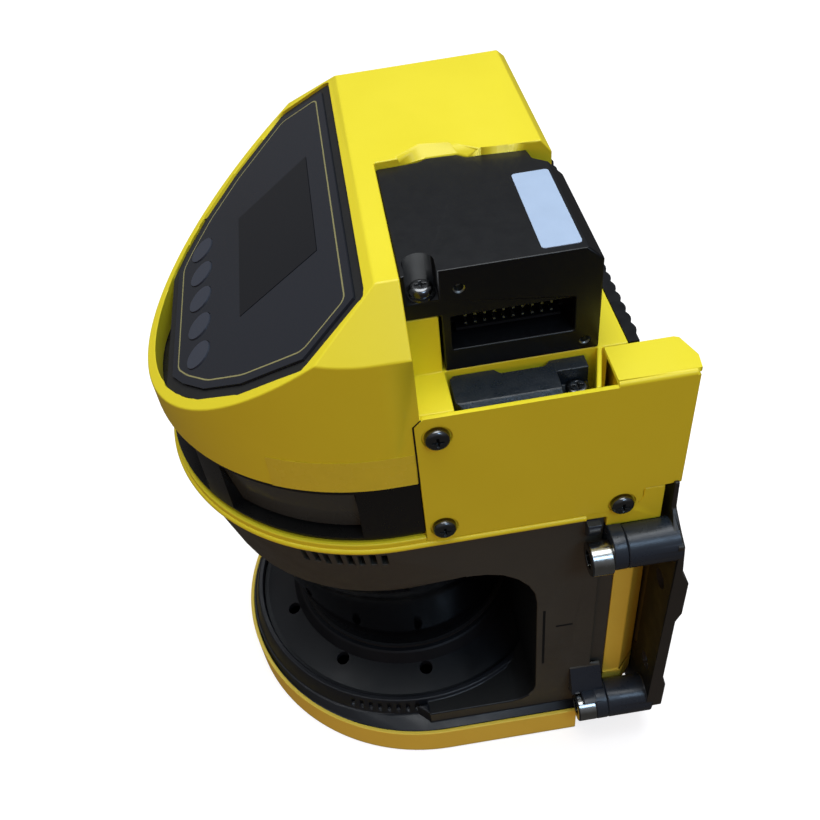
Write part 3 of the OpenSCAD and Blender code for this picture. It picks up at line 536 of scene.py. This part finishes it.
def pull(x=0, y=0, z=0):
    """Extrude what is picked."""
    move = (x * MM, y * MM, z * MM)
    bpy.ops.mesh.extrude_region_move(TRANSFORM_OT_translate={"value": move})


def narrow(factors, middle=0):
    """Draw the picked faces together across the piece, about a middle in x."""
    bpy.ops.transform.resize(value=factors, center_override=(middle * MM, 0, 0))


def close_up():
    """Merge doubles, turn all faces outwards and leave edit mode."""
    bpy.ops.mesh.select_all(action="SELECT")
    bpy.ops.mesh.remove_doubles(threshold=0.005 * MM)
    bpy.ops.mesh.normals_make_consistent(inside=False)
    bpy.ops.object.mode_set(mode="OBJECT")


def thicken(o, thickness):
    """Give a sheet its thickness, half to each side."""
    wall = o.modifiers.new("wall", "SOLIDIFY")
    wall.thickness = thickness * MM
    wall.offset = 0
    bpy.ops.object.modifier_apply(modifier="wall")


def finish_piece(o, name, finish, width=0.0):
    """Soft edges, even shading, a finish, and the body that carries the piece."""
    if o.mode == "EDIT":
        close_up()
    o.name = name
    pick(o)
    if width:
        bevel = o.modifiers.new("edge", "BEVEL")
        bevel.width = width * MM
        bevel.segments = 2
        bevel.limit_method = "ANGLE"
        bevel.angle_limit = radians(35)
        bpy.ops.object.modifier_apply(modifier="edge")
    even_shading(o)
    o.data.materials.clear()
    o.data.materials.append(finish.mat)
    carry(o)
    return o


def join(pieces, name):
    """Make one object of several pieces."""
    clear()
    for p in pieces:
        p.select_set(True)
    bpy.context.view_layer.objects.active = pieces[0]
    bpy.ops.object.join()
    pieces[0].name = name
    return pieces[0]


def copies(first, places, turn, name):
    """The piece repeated at its places, each copy with its own mesh, as one object."""
    made = []
    for place in places:
        c = first.copy()
        c.data = first.data.copy()
        scene.collection.objects.link(c)
        c.data.transform(Matrix.Translation(Vector(place) * MM) @ turn)
        made.append(c)
    bpy.data.objects.remove(first)
    return join(made, name)


def cut_away(o, cutter):
    """Take the cutter's shape out of the piece."""
    pick(o)
    cut = o.modifiers.new("cut", "BOOLEAN")
    cut.operation = "DIFFERENCE"
    cut.solver = "EXACT"
    cut.object = cutter
    bpy.ops.object.modifier_apply(modifier="cut")
    bpy.data.objects.remove(cutter)


# ---------------------------------------------------------------- screws
# rings of a pan head's crown: width at the radius given, and rise in parts of the height
CROWN_RADIUS = 2.75
CROWN = [(0.10, 0.16), (0.22, 0.16), (0.40, 0.11), (0.60, 0.05)]
AS_MADE = Matrix.Identity(4)
TO_SIDE = Matrix.Rotation(QUARTER, 4, "Y")


def pan_head(radius, height, shank_radius, shank_length):
    """A pan head screw with a flanged rim and a cross recess, seat at the origin, head up."""
    o = cylinder((0, 0, height * 0.24), radius, height * 0.48, 48)
    choose(o, lambda c, n: n.z > 0.9)
    for width, rise in CROWN:
        inset(width * radius / CROWN_RADIUS, rise * height)
    choose(o, lambda c, n: n.z < -0.9)
    inset(radius - shank_radius)
    pull(z=-shank_length)
    inset(0.35)
    pull(z=-0.4)
    bpy.ops.object.mode_set(mode="OBJECT")
    for turn in (0, QUARTER):
        arm = cube((0, 0, height * 0.98), (radius * 1.25, 0.78, height), rotation=(0, 0, turn))
        choose(arm, lambda c, n: n.z < -0.9)
        narrow((0.55, 0.55, 1))
        bpy.ops.object.mode_set(mode="OBJECT")
        cut_away(o, arm)
    pick(o)
    bpy.ops.object.mode_set(mode="EDIT")
    return o


def pan_screws(node, size, places, turn=AS_MADE):
    """Pan head screws in black zinc, with painted shade in their cross recesses, for the CAD node
    they stand for.
    """
    radius, height = size[:2]

    def in_shaded_recess(c, n):
        wall = c.z < 0.95 * height and abs(n.z) < 0.5
        bottom = c.z < 0.6 * height and n.z > 0.9
        return c.z > 0.3 * height and (wall or bottom) and c.xy.length < 0.7 * radius

    first = finish_piece(pan_head(*size), "pan_screw", zinc, 0.09)
    paint(first, (painted_shade, in_shaded_recess))
    stand_for(copies(first, places, turn, node + "_finished"), node)


def cap_screws():
    """Cap screws of the wall frame, with a turned rim and a hexagon socket."""
    to_front = (QUARTER, 0, 0)
    o = cylinder((0, CAP_FACE + 2.5, 0), CAP_RADIUS, 5, 64, to_front)
    choose(o, lambda c, n: n.y < -0.9)
    inset(0.28, 0.28)
    choose(o, lambda c, n: n.y > 0.9)
    inset(CAP_RADIUS - CAP_SHANK_RADIUS)
    pull(y=14)
    bpy.ops.object.mode_set(mode="OBJECT")
    key = cylinder((0, CAP_FACE, 0), SOCKET_RADIUS, 6, 6, to_front)
    bpy.ops.object.mode_set(mode="OBJECT")
    cut_away(o, key)
    pick(o)
    bpy.ops.object.mode_set(mode="EDIT")
    first = finish_piece(o, "cap_screw", bright, 0.14)
    # Painted shade: the end face and the socket take the dark zinc finish, where the steel head
    # sits in shade.
    paint(first, (zinc, lambda c, n: c.y < CAP_FACE + 0.2
                  or (c.y < CAP_FACE + 3.4 and c.xz.length < SOCKET_RADIUS + 0.1)))
    places = [(side * 60, 0, z) for side in SIDES for z in (89, 16)]
    stand_for(copies(first, places, AS_MADE, "frame_screws_finished"), "frame_screws")


pan_screws("plate_screws", (2.75, 2.1, 1.45, 7.2),
           [(BODY_RADIUS - 0.45, y, z) for y, z in PLATE_HOLES], TO_SIDE)
pan_screws("box_screw", (2.5, 2.0, 1.5, 10), [(BOX_FACE - 2.9, 11.4, BOX_FLANGE_TOP + 0.5)])
pan_screws("module_screw", (2.6, 1.9, 1.25, 14), [(BODY_RADIUS - 6.5, 41.2, BLOCK_TOP - 5.5)])
cap_screws()


# ---------------------------------------------------------------- head and panel
def lip_bead():
    """The rounded bead that the lip carries round the head, from catch to catch."""
    o = primitive(bpy.ops.mesh.primitive_circle_add, (BODY_RADIUS - 0.25, 0, LIP_BOTTOM + 0.95),
                  vertices=16, radius=0.8 * MM, fill_type="NOTHING", rotation=(QUARTER, 0, 0))
    choose_all("EDGE")
    bpy.ops.mesh.spin(steps=96, angle=radians(180), center=(0, 0, 0), axis=(0, 0, 1))
    choose_edges(o, lambda e: len(e.link_faces) == 1)
    pull(y=43.0)
    bpy.ops.mesh.edge_face_add()
    bpy.ops.mesh.select_mode(type="FACE")
    finish_piece(o, "lip_bead", yellow)


def dome_label():
    """Bare film label that wraps from the flat of the head round on to its curve."""
    o = plane((BODY_RADIUS + 0.03, 2.6, 125.35), 9.3, 5.2, rotation=(0, QUARTER, 0))
    choose_edges(o, lambda e: all(abs(v.co.y) < 0.01 * MM for v in e.verts))
    bpy.ops.mesh.spin(steps=24, angle=radians(28), center=(0, 0, 0), axis=(0, 0, 1))
    bpy.ops.mesh.select_mode(type="FACE")
    close_up()
    thicken(o, 0.06)
    finish_piece(o, "dome_label_finished", film)
    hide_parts("dome_label")


def plate_gap_shadow():
    """Painted shadow in the joint between the cover plate and the head: a dark strip round the
    plate's cut corner.
    """
    o = plane((BODY_RADIUS + 0.02, 5.64, 129.15), 17.5, 0.36, rotation=(0, QUARTER, 0))
    choose_edges(o, lambda e: all(v.co.z > 137.8 * MM for v in e.verts))
    pull(y=1.6, z=1.6)
    choose_all()
    pull(x=-0.3)
    finish_piece(o, "plate_gap_shadow", painted_shade)


def panel_border():
    """Thin printed line that runs round the operating panel, inside its edge."""
    foot = Vector((0, PANEL_FOOT_Y, PANEL_FOOT_Z))
    back = Vector((0, 1, sin(PANEL_SLOPE) / cos(PANEL_SLOPE)))
    half = [(21.3, 0.0)]
    for a in (31.8, 42.9, 57.1, 68):
        across, along = sin(radians(a)), cos(radians(a))
        half.append((PANEL_RIM_RADIUS * across, -PANEL_FOOT_Y - PANEL_RIM_RADIUS * along))
    half += [(52.5, 35.2), (45.6, 49.0)]
    rim = half + [(-x, y) for x, y in reversed(half)]
    corners = [foot + Vector((x, 0, 0)) + back * y for x, y in rim]
    o = plane(foot + back * 25, 140, 100, rotation=(PANEL_SLOPE, 0, 0))
    for here, after in zip(corners, corners[1:] + corners[:1]):
        outwards = (after - here).cross(PANEL_UP).normalized()
        choose_all()
        bpy.ops.mesh.bisect(plane_co=here * MM, plane_no=outwards, clear_outer=True)
    choose_all()
    inset(4.6)
    bpy.ops.mesh.select_all(action="INVERT")
    bpy.ops.mesh.delete(type="FACE")
    choose_all("VERT")
    bpy.ops.mesh.bevel(offset=1.6 * MM, segments=4, affect="VERTICES")
    choose_all()
    inset(0.35)
    bpy.ops.mesh.delete(type="FACE")
    choose_all()
    bpy.ops.transform.translate(value=tuple(PANEL_UP * -0.085 * MM))
    bpy.ops.object.mode_set(mode="OBJECT")
    thicken(o, 0.05)
    finish_piece(o, "panel_border", print_line)


lip_bead()
dome_label()
plate_gap_shadow()
panel_border()


# ---------------------------------------------------------------- housing, frame and box
def frame_web(side):
    """Inner edge of the wall frame behind the rear cover, with its cored pockets."""
    o = cube((side * 46.2, 63.9, 51.5), (9.6, 2.0, 62))
    choose_all()
    bpy.ops.mesh.subdivide(number_cuts=1)
    choose(o, lambda c, n: n.y > 0.9)
    inset(0.9)
    inset(0.2, -0.7)
    finish_piece(o, "frame_web_" + SIDES[side], rail, 0.2)


def foot_wedge(side):
    """Blend between the round wall of the base and the foot of the rear block."""
    o = cube((side * 53.25, -1.5, 13.6), (3.1, 3.4, 5.2))
    choose(o, lambda c, n: n.y < -0.9)
    narrow((0.08, 1, 1), side * 51.7)
    choose(o, lambda c, n: n.z > 0.9)
    inset(0.5, 0.3)
    finish_piece(o, "foot_wedge_" + SIDES[side], base_paint, 0.25)


def cover_sill():
    """Ledge of the base on which the rear cover stands."""
    o = cube((0, 57.2, 11.3), (103, 10.4, 4.2))
    choose(o, lambda c, n: n.y > 0.9)
    narrow((0.94, 1, 1))
    choose(o, lambda c, n: n.z < -0.9)
    inset(1.6)
    inset(0.3, -1.4)
    finish_piece(o, "cover_sill", casting, 0.4)


def shade_groove_floors(side):
    """Painted shade: dark strips on the floors of the relief groove and of the parting mark in the
    side wall.
    """
    floors = []
    for y, z, width, height in [(33.95, 48, 0.78, 27.2), (39.5, 53.0, 4.7, 0.9)]:
        o = cube((side * GROOVE_SHADE_X, y, z), (0.5, width, height))
        choose(o, lambda c, n: n.x * side > 0.9)
        inset(0.12, -0.08)
        floors.append(finish_piece(o, "painted_groove_shade", painted_shade, 0.05))
    carry(join(floors, "side_groove_shading_" + SIDES[side]))


def thread_inserts():
    """Threaded bushes of the two holes in the box face."""
    bushes = []
    for y, z in [(18.6, BOX_TOP - 4.9), (44.3, BLOCK_TOP + 2.4)]:
        o = cylinder((BOX_FACE - 1.75, y, z), 1.24, 3, 32, (0, QUARTER, 0))
        choose(o, lambda c, n: n.x > 0.9)
        inset(0.34, -0.3)
        inset(0.04, -1.6)
        inset(0.5, -0.4)
        bushes.append(finish_piece(o, "bush", tin, 0.05))
    carry(join(bushes, "box_thread_inserts"))


def recess_shelf():
    """Ledge of the connector recess, below the two rows of contacts."""
    o = cube((BOX_FACE - 6.9, RECESS_MIDDLE, RECESS_BOTTOM + 1.25), (4.2, 22.2, 0.7))
    choose(o, lambda c, n: n.z > 0.9)
    inset(0.5)
    inset(0.2, -0.25)
    finish_piece(o, "recess_shelf", enamel, 0.14)


for side in SIDES:
    frame_web(side)
for side in SIDES:
    foot_wedge(side)
cover_sill()
for side in SIDES:
    shade_groove_floors(side)
thread_inserts()
recess_shelf()


# ---------------------------------------------------------------- studio
bpy.ops.mesh.primitive_plane_add(size=6, location=(0, 0, -0.0002))
floor = bpy.context.object
floor.name = "floor"
ground = bpy.data.materials.new("white ground")
ground.use_nodes = True
sockets = ground.node_tree.nodes["Principled BSDF"].inputs
sockets["Base Color"].default_value = (0.5, 0.5, 0.5, 1)
sockets["Roughness"].default_value = 1.0
sockets["Specular IOR Level"].default_value = 0.0
sockets["Emission Color"].default_value = (1, 1, 1, 1)
sockets["Emission Strength"].default_value = 0.75
floor.data.materials.append(ground)
floor.visible_diffuse = False
floor.visible_glossy = False

# a room that is brighter overhead than below
world = bpy.data.worlds.new("room")
scene.world = world
world.use_nodes = True
room = world.node_tree
way = room.nodes.new("ShaderNodeTexCoord")
split = room.nodes.new("ShaderNodeSeparateXYZ")
rise = room.nodes.new("ShaderNodeMapRange")
rise.inputs["From Min"].default_value = -0.12
rise.inputs["From Max"].default_value = 0.65
blend = room.nodes.new("ShaderNodeMix")
blend.data_type = "RGBA"
blend.inputs[MIX_FIRST].default_value = (0.060, 0.058, 0.056, 1)
blend.inputs[MIX_SECOND].default_value = (0.200, 0.207, 0.225, 1)
room.links.new(way.outputs["Generated"], split.inputs[0])
room.links.new(split.outputs["Z"], rise.inputs["Value"])
room.links.new(rise.outputs["Result"], blend.inputs[MIX_FACTOR])
room.links.new(blend.outputs[MIX_RESULT], room.nodes["Background"].inputs["Color"])


def lamp(name, place, aim, size, power, colour):
    """A rectangular soft light at a place in metres, turned to its aim."""
    light = bpy.data.lights.new(name, "AREA")
    light.shape = "RECTANGLE"
    light.size, light.size_y = size
    light.energy = power
    light.color = colour
    o = bpy.data.objects.new(name, light)
    o.location = place
    o.rotation_euler = (Vector(aim) - Vector(place)).to_track_quat("-Z", "Y").to_euler()
    scene.collection.objects.link(o)
    return o


lamp("ceiling", (-0.12, 0.06, 1.3), (0, 0, 0.1), (1.0, 1.0), 13.0, (0.94, 0.98, 1.0))
for name, place, power in [("side fill", (1.1, -0.45, 0.35), 2.3),
                           ("left fill", (-1.1, -0.45, 0.35), 1.9),
                           ("rear fill", (0, 1.2, 0.35), 2.0)]:
    warm = lamp(name, place, (0, 0, 0.1), (0.8, 0.8), power, (1.0, 0.42, 0.15))
    warm.visible_glossy = False
lamp("window light", (0.62, 0.30, 0.80), (0.05, 0.04, 0.1), (0.34, 0.22), 1.6, (0.50, 0.72, 1.0))
# light that comes back off the table top
bounce = lamp("table bounce", (0, 0, 0.0006), (0, 0, 1), (0.44, 0.44), 0.16, (1.0, 0.60, 0.28))
bounce.visible_glossy = False
bounce.visible_camera = False
scene.view_settings.view_transform = "Standard"
